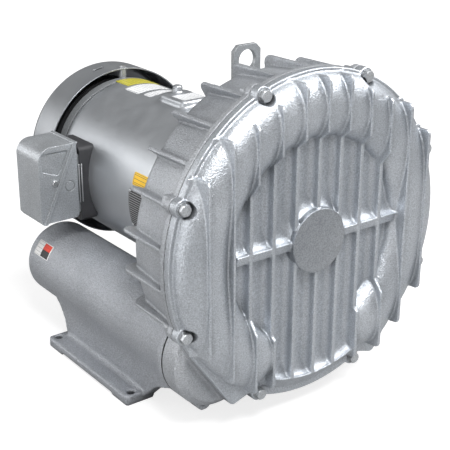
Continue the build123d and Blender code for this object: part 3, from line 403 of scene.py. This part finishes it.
# %% Dress the nodes
WEARS = {
    "front_cover": silver_cast,
    "rear_housing": silver_drum,
    "muffler_left": silver_tube,
    "muffler_right": silver_tube,
    "cover_bolts": silver_bolt,
    "cover_washers": silver_bolt,
    "cover_gasket": shield_grey,
    "front_end_shield": shield_grey,
    "rear_end_shield": shield_grey,
    "lifting_plate": shield_grey,
    "motor_shell": motor_grey,
    "fan_cover": cowl_grey,
    "conduit_box_base": box_grey,
    "conduit_box_cover": box_grey,
    "conduit_neck": neck_rubber,
}
BY_SLOT = {
    "cast_paint": silver_cast,
    "motor_paint": motor_grey,
    "zinc_steel": zinc,
    "machined_steel": ground_steel,
    "bare_aluminium": bare_casting,
    "gasket_sheet": gasket_sheet,
    "foam": open_foam,
    "black_rubber": seal_rubber,
    "laminations": sheet_stack,
    "copper_winding": varnished_wire,
    "black_plastic": fan_plastic_and_painted_shade,
}
slot_of = {part["node"]: part["material_slot"] for part in frame["record"]["subparts"]}


def dress(obj, material):
    """Gives every face of the object one material."""
    if not obj.material_slots:
        obj.data.materials.append(material)
    for place in obj.material_slots:
        place.material = material


for name, node in nodes.items():
    dress(node, WEARS.get(name) or BY_SLOT[slot_of[name]])
print("dressed", len(nodes), "nodes")

# %% [markdown]
# ## Sand-cast edges
#
# CAD corners are perfectly sharp, but molten metal never fills a sand mould like that.
# A bevel modifier rounds outer corners only and fails where many faces meet. A fine
# remesh followed by a few rounds of smoothing also melts the inner corners together,
# the way fillets in a mould do. Only modifiers are used, so the node's own mesh stays
# exactly as it was packed.

# %% Soften the castings
COARSE = 1.0
SOFT = {
    # node: (voxel in metres, rounds of smoothing)
    "front_cover": (0.0011, 1),
    "rear_housing": (0.0014, 2),
    "muffler_left": (0.0018, 2),
    "muffler_right": (0.0018, 2),
    "motor_shell": (0.0023, 4),
}


def soften(obj, voxel, rounds):
    """Voxel remesh and smoothing as modifiers."""
    remesh = obj.modifiers.new("sand_mould", "REMESH")
    remesh.mode = "VOXEL"
    remesh.voxel_size = voxel
    remesh.use_smooth_shade = True
    smooth = obj.modifiers.new("melted_corners", "SMOOTH")
    smooth.factor = 0.5
    smooth.iterations = rounds


for name, (voxel, rounds) in SOFT.items():
    soften(nodes[name], voxel * COARSE, rounds)
print("softened:", ", ".join(SOFT))

# %% [markdown]
# ## Thin sheets on a cylinder
#
# The motor carries stickers and a nameplate, and the cowl has dark sheets of painted
# shade inside. A flat plane could be shrink-wrapped on the shell, but its corners would
# need care. Here the grid is built straight on the cylinder: by two stations along the
# shaft and two angles, counted from +X towards +Z. Its rounded corners come from pulling
# in the ends of the rows, and its UV is in metres, so that printed lines have a true width.

# %% Curved patches
ROWS, COLUMNS = 40, 32


def add_object(name, bm):
    """Turns a bmesh into a mesh object of the scene."""
    mesh = bpy.data.meshes.new(name)
    bm.to_mesh(mesh)
    bm.free()
    obj = bpy.data.objects.new(name, mesh)
    scene.collection.objects.link(obj)
    return obj


def thicken(obj, thickness, offset):
    """Gives a sheet its thickness; offset 0 puts half of it on each side."""
    thick = obj.modifiers.new("sheet_thickness", "SOLIDIFY")
    thick.thickness = thickness
    thick.offset = offset


def patch(name, radius, axis, along, angles, corner, lift=0.00015):
    """Thin sheet on a cylinder of the fixed frame, with its UV in metres from its middle."""
    (axis_x, axis_z), (y0, y1) = axis, along
    a0, a1 = (math.radians(angle) for angle in angles)
    reach = radius + lift
    bm = bmesh.new()
    layer = bm.loops.layers.uv.new("sheet")
    grid, flat = [], {}
    for row in range(ROWS + 1):
        y = y0 + (y1 - y0) * row / ROWS
        short = max(corner - min(y - y0, y1 - y), 0.0)
        inset = (corner - math.sqrt(corner ** 2 - short ** 2)) / radius
        line = []
        for column in range(COLUMNS + 1):
            angle = a0 + inset + (a1 - a0 - 2 * inset) * column / COLUMNS
            vert = bm.verts.new((axis_x + reach * math.cos(angle), y,
                                 axis_z + reach * math.sin(angle)))
            flat[vert] = (y - (y0 + y1) / 2, (angle - (a0 + a1) / 2) * radius)
            line.append(vert)
        grid.append(line)
    for front, rear in zip(grid, grid[1:]):
        for k in range(COLUMNS):
            face = bm.faces.new((front[k], front[k + 1], rear[k + 1], rear[k]))
            face.smooth = True
            for loop in face.loops:
                loop[layer].uv = flat[loop.vert]
    bm.normal_update()
    obj = add_object(name, bm)
    thicken(obj, 2 * lift, 0.0)
    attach(obj, "frame")
    return obj


print("patches have", ROWS * COLUMNS, "faces each")

# %% [markdown]
# ## Blank forms
#
# A real label is printed. These stay blank: a border line and empty ruled rows, drawn
# by maths nodes on the sheet's UV. Maths keeps the lines sharp at any size, where an
# image would need thousands of pixels for a line a third of a millimetre wide.

# %% Ruled sheets
FRAME_STROKE = 0.00025      # half width of the border line
ROW_STROKE = 0.0003         # half width of a ruled line


def ruled_sheet(name, ground, ink, size, border, rule, roughness, metallic=0.0,
                stroke=ROW_STROKE):
    """Blank form: a border line and ruled rows in ink on a coloured ground."""
    material, tree, shader = new_material(name)
    along, high = add_node(tree, "ShaderNodeSeparateXYZ",
                           {0: coordinates(tree, "UV")}).outputs[:2]
    end = maths(tree, "SUBTRACT", size[0] / 2, maths(tree, "ABSOLUTE", along))
    side = maths(tree, "SUBTRACT", size[1] / 2, maths(tree, "ABSOLUTE", high))
    edge = maths(tree, "MINIMUM", end, side)
    near = {0: edge, 1: border, 2: FRAME_STROKE}
    frame_line = add_node(tree, "ShaderNodeMath", near, operation="COMPARE").outputs[0]
    line = maths(tree, "LESS_THAN", maths(tree, "PINGPONG", high, rule / 2), stroke)
    ruled = maths(tree, "MULTIPLY", line, maths(tree, "GREATER_THAN", edge, border))
    printed = maths(tree, "MAXIMUM", ruled, frame_line)
    worn = spread(tree, noise(tree, 45.0), 0.88, 1.04)
    colour = scaled(tree, blend_colours(tree, printed, ground, ink), worn)
    normal = raised(tree, noise(tree, 400.0), 0.00003)
    gloss = spread(tree, noise(tree, 80.0), roughness - 0.05, roughness + 0.05)
    finish_shader(tree, shader, Base_Color=colour, Metallic=metallic, Roughness=gloss,
                  Normal=normal)
    return material


print("border line", 2000 * FRAME_STROKE, "mm, ruled line", 2000 * ROW_STROKE, "mm")

# %% [markdown]
# ## Stickers and nameplate
#
# Four stickers and the dark nameplate sit on the shell, and one sticker on the tube.
# They differ only in place, colour and spacing of the rows, so a table holds them and
# one loop makes them.

# %% Labels on the shell and the tube
STICKER_CORNER = 0.002
STICKER_BORDER = 0.0015
PLATE_STROKE = 0.00045
WHITE_INK = (0.30, 0.31, 0.33)
# name: (radius, axis, y from, y to, angle from, angle to, ground, ink, row spacing)
LABELS = {
    "sticker_olive": (SHELL_R, SHELL, 400, 436, 69.0, 97.7,
                      (0.55, 0.50, 0.06), (0.12, 0.11, 0.04), 0.006),
    "sticker_white_rear": (SHELL_R, SHELL, 359, 394, 75.0, 102.7,
                           (0.82, 0.83, 0.83), WHITE_INK, 0.005),
    "sticker_white_front": (SHELL_R, SHELL, 333, 350, 77.0, 101.0,
                            (0.80, 0.81, 0.82), WHITE_INK, 0.004),
    "sticker_orange": (SHELL_R, SHELL, 212, 244.5, 158.0, 167.0,
                       (0.92, 0.56, 0.02), (0.05, 0.05, 0.05), 0.005),
    "nameplate": (SHELL_R, SHELL, 216, 250, 170.5, 198.0,
                  (0.025, 0.026, 0.028), (0.50, 0.51, 0.52), 0.0032),
    "sticker_tube": (TUBE_R, TUBE, 382, 421, 133.0, 157.0,
                     (0.96, 0.96, 0.95), (0.45, 0.45, 0.45), 0.0055),
}
for name, (radius, axis, y0, y1, a0, a1, ground, ink, rule) in LABELS.items():
    along = (station(y0), station(y1))
    obj = patch(name, radius, axis, along, (a0, a1), STICKER_CORNER)
    size = (along[1] - along[0], math.radians(a1 - a0) * radius)
    if name == "nameplate":
        form = ruled_sheet(name + "_print", ground, ink, size, STICKER_BORDER, rule, 0.42,
                           metallic=0.3, stroke=PLATE_STROKE)
    else:
        form = ruled_sheet(name + "_print", ground, ink, size, STICKER_BORDER, rule, 0.42)
    dress(obj, form)
print("labels:", ", ".join(LABELS))

# %% [markdown]
# ## Colour blocks
#
# The sticker on the tube has two plain blocks of colour on its far half, one above the
# other. They could be drawn in the sticker's material, but small patches of their own,
# laid over the white sheet, keep that material as simple as the others.

# %% Blocks on the tube sticker
BLOCKS = {
    # name: (y from and to, angle from and to, colour)
    "block_red": ((384, 403), (134.5, 144.5), (0.80, 0.05, 0.02)),
    "block_black": ((384, 403), (144.5, 155.5), (0.02, 0.02, 0.02)),
}
for name, ((y0, y1), angles, ground) in BLOCKS.items():
    along = (station(y0), station(y1))
    obj = patch(name, TUBE_R, TUBE, along, angles, 0.0005, lift=0.00035)
    size = (along[1] - along[0], math.radians(angles[1] - angles[0]) * TUBE_R)
    ink = tuple(0.7 * part for part in ground)
    dress(obj, ruled_sheet(name + "_print", ground, ink, size, 0.0009, 0.05, 0.45))
print("blocks:", ", ".join(BLOCKS))

# %% [markdown]
# ## Turned shapes
#
# Rivets, rods and rings are all turned on a lathe or could be. The screw modifier can
# spin a profile too, but a loop in bmesh is just as short and leaves clean quads. A
# profile that returns to its start makes a ring; any other is closed by two caps.

# %% Spin a profile
def turned_shape(name, profile, place, direction, steps=24):
    """Spins (radius, height) points about an axis and puts the result in place."""
    bm = bmesh.new()
    turns = [2 * math.pi * k / steps for k in range(steps)]
    rings = [[bm.verts.new((radius * math.cos(t), radius * math.sin(t), height)) for t in turns]
             for radius, height in profile]
    for low, high in zip(rings, rings[1:]):
        for k in range(steps):
            after = (k + 1) % steps
            face = bm.faces.new((low[k], low[after], high[after], high[k]))
            face.smooth = True
    if profile[0] != profile[-1]:
        bm.faces.new(list(reversed(rings[0])))
        bm.faces.new(rings[-1])
    bmesh.ops.remove_doubles(bm, verts=bm.verts, dist=1e-7)
    bm.normal_update()
    obj = add_object(name, bm)
    upright = Vector(direction).to_track_quat("Z", "Y").to_matrix().to_4x4()
    obj.matrix_world = Matrix.Translation(place) @ upright
    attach(obj, "frame")
    return obj


print("lathe ready")

# %% [markdown]
# ## Rivets of the nameplate
#
# Four domed rivets hold the plate. Each needs a point on the shell and the direction
# that leads away from it, which one angle and one station give.

# %% Rivets
RIVET = [(0.0019, 0.0), (0.0019, 0.0003), (0.0016, 0.0008), (0.0010, 0.0011), (0.0003, 0.0012)]
RIVET_LIFT = 0.0003         # top of the nameplate above the shell


def shell_point(angle, millimetres):
    """Point on the motor shell and the direction that leads away from it."""
    turn = math.radians(angle)
    out = Vector((math.cos(turn), 0, math.sin(turn)))
    return Vector((0, station(millimetres), SHAFT_Z)) + out * SHELL_R, out


corners = [(angle, y) for angle in (171.6, 196.9) for y in (218.2, 247.8)]
for number, (angle, y) in enumerate(corners):
    place, out = shell_point(angle, y)
    dress(turned_shape(f"nameplate_rivet_{number}", RIVET, place + out * RIVET_LIFT, out), zinc)
print("rivets:", len(corners))

# %% [markdown]
# ## Gauze, felts and seams
#
# Behind the slots of the fan cowl lies a dark ring, and a dark sheet lies under each
# drip slot: both are painted shade. Without them one looks through the cowl into
# daylight. The rubber neck of the conduit box shows two bright seams where its metal
# insert comes through.

# %% Cowl and neck details
# Painted shade: a dark ring behind the slots of the cowl.
SHADE_RING_R0, SHADE_RING_R1, SHADE_RING_T = 0.062, 0.104, 0.0006
SHADE_RING = [(SHADE_RING_R0, 0), (SHADE_RING_R1, 0), (SHADE_RING_R1, SHADE_RING_T), (SHADE_RING_R0, SHADE_RING_T), (SHADE_RING_R0, 0)]
grille_shade = turned_shape("grille_painted_shade", SHADE_RING, (0, station(500.0), SHAFT_Z), (0, 1, 0), 96)
dress(grille_shade, fan_plastic_and_painted_shade)

# Painted shade: dark sheets just inside the cowl under its drip slots.
SLOT_SHADE_R = 0.1249             # just inside the cowl's sheet
SLOT_SHADE_HALF_ANGLE = 7
for number, angle in enumerate((101.0, 281.0)):
    angles = (angle - SLOT_SHADE_HALF_ANGLE, angle + SLOT_SHADE_HALF_ANGLE)
    slot_shade = patch(f"drip_slot_shade_{number}", SLOT_SHADE_R, SHELL, (station(462), station(474)), angles, 0.002)
    dress(slot_shade, fan_plastic_and_painted_shade)

SEAM = [(0.0004, 0.0), (0.0009, 0.0006), (0.0009, 0.0554), (0.0004, 0.056)]
for number, x in enumerate((-0.1225, -0.1268)):
    seam = turned_shape(f"neck_seam_{number}", SEAM, (x, 0.1029, 0.206), (0, 0, 1), 16)
    dress(seam, zinc)
print("gauze, slot_shades and seams made")

# %% [markdown]
# ## A flat label on the pad
#
# The raised pad on top of the motor carries one more blank label. The pad is flat, so
# a plain grid does, stretched to the label's size.

# %% Pad label
def flat_label(name, x0, x1, y0, y1, z, thickness=0.0002):
    """Flat thin sheet with its UV in metres from its middle."""
    middle_x, middle_y = (x0 + x1) / 2, (y0 + y1) / 2
    bm = bmesh.new()
    layer = bm.loops.layers.uv.new("sheet")
    made = bmesh.ops.create_grid(bm, x_segments=8, y_segments=8, size=0.5)
    for vert in made["verts"]:
        vert.co = (middle_x + vert.co.x * (x1 - x0), middle_y + vert.co.y * (y1 - y0), z)
    for face in bm.faces:
        for loop in face.loops:
            loop[layer].uv = (loop.vert.co.y - middle_y, loop.vert.co.x - middle_x)
    obj = add_object(name, bm)
    thicken(obj, thickness, -1.0)
    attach(obj, "frame")
    return obj


LABEL_LENGTH, LABEL_WIDTH = 0.028, 0.036
label = flat_label("pad_label", -LABEL_WIDTH / 2, LABEL_WIDTH / 2, station(256), station(284),
                   PAD_TOP + 0.0002)
dress(label, ruled_sheet("pad_label_print", (0.74, 0.75, 0.76), WHITE_INK,
                         (LABEL_LENGTH, LABEL_WIDTH), STICKER_BORDER, 0.0045, 0.45))
print("pad label made")

# %% [markdown]
# ## Floor
#
# A catalogue picture has no horizon. A white floor lit to pure white would need so much
# light that the paint burns out. So the floor is a mid grey that keeps the machine's
# shadow, and only the camera's own rays see a glow on it, which grows to full white
# with distance. The light on the machine stays as it is.

# %% Floor
scene.view_settings.view_transform = "Standard"
FLOOR_SIZE = 30.0
FLOOR_GREY = (0.36, 0.36, 0.36, 1)
GLOW = {"From Min": 0.5, "From Max": 2.0, "To Min": 0.78, "To Max": 1.0}   # metres to strength
floor_mesh = bmesh.new()
bmesh.ops.create_grid(floor_mesh, x_segments=1, y_segments=1, size=FLOOR_SIZE)
floor = add_object("floor", floor_mesh)

floor_paint, tree, shader = new_material("floor_white")
seen = add_node(tree, "ShaderNodeLightPath").outputs["Is Camera Ray"]
distance = add_node(tree, "ShaderNodeVectorMath", {0: coordinates(tree)}, operation="LENGTH")
glow = add_node(tree, "ShaderNodeMapRange", {"Value": distance.outputs["Value"], **GLOW}).outputs[0]
finish_shader(tree, shader, Base_Color=FLOOR_GREY, Roughness=0.9, Emission_Color=(1, 1, 1, 1),
              Emission_Strength=maths(tree, "MULTIPLY", seen, glow))
dress(floor, floor_paint)
print("floor of", 2 * FLOOR_SIZE, "metres")

# %% [markdown]
# ## The room
#
# Silver paint shows the room it stands in. A world of one grey would make it flat, so
# the room is dark behind the motor and lighter in front of the cover: the dot product
# of the view direction with one front direction blends the two. The camera itself sees
# plain white.

# %% World
ROOM_DARK, ROOM_LIGHT = 0.09, 0.33     # behind the motor and in front of the cover
WHITE_SEEN = 1.02                      # strength that the camera sees
front = Vector((-0.35, -0.75, 0.55)).normalized()

world = bpy.data.worlds.new("studio_world")
scene.world = world
world.use_nodes = True
sky = world.node_tree
directions = {0: coordinates(sky, "Generated"), 1: front}
facing = add_node(sky, "ShaderNodeVectorMath", directions, operation="DOT_PRODUCT").outputs["Value"]
shade = {"Value": facing, "From Min": -0.9, "From Max": 0.9, "To Min": ROOM_DARK, "To Max": ROOM_LIGHT}
room = add_node(sky, "ShaderNodeMapRange", shade).outputs[0]
camera_ray = add_node(sky, "ShaderNodeLightPath").outputs["Is Camera Ray"]
strength = add_node(sky, "ShaderNodeMix", {0: camera_ray, 2: room, 3: WHITE_SEEN}).outputs[0]
background = sky.nodes["Background"]
background.inputs["Color"].default_value = (1, 1, 1, 1)
sky.links.new(strength, background.inputs["Strength"])
print("room from", ROOM_DARK, "to", ROOM_LIGHT)

# %% [markdown]
# ## Lamps
#
# Point lamps would leave hard sparks on every fin. Large soft rectangles draw broad
# highlights instead: the key lamp from the upper left lights the cover, the right lamp
# the far sides of the fins, the side lamp from behind draws the long lines of light on
# shell and tube, and the low lamp fills the leg and the conduit box.

# %% Lamps
LAMP_AIM = Vector((0, -0.1, 0.22))
LAMPS = {
    # name: (place, width, height, watts)
    "key_lamp": ((-0.55, -1.35, 2.1), 0.7, 0.7, 46),
    "right_lamp": ((1.3, -0.9, 1.75), 1.0, 1.0, 37),
    "side_lamp": ((-1.7, 1.45, 0.8), 1.6, 1.0, 13),
    "low_lamp": ((-1.9, -0.6, 0.30), 0.9, 0.9, 9),
    "top_lamp": ((0.1, 0.2, 2.2), 1.4, 1.4, 3),
}


def soft_lamp(name, place, width, height, watts):
    """A rectangular area lamp that points at the machine."""
    data = bpy.data.lights.new(name, "AREA")
    data.shape = "RECTANGLE"
    data.size = width
    data.size_y = height
    data.energy = watts
    lamp = bpy.data.objects.new(name, data)
    lamp.location = place
    lamp.rotation_euler = (LAMP_AIM - Vector(place)).to_track_quat("-Z", "Y").to_euler()
    scene.collection.objects.link(lamp)


for name, settings in LAMPS.items():
    soft_lamp(name, *settings)
print("lamps:", ", ".join(LAMPS))
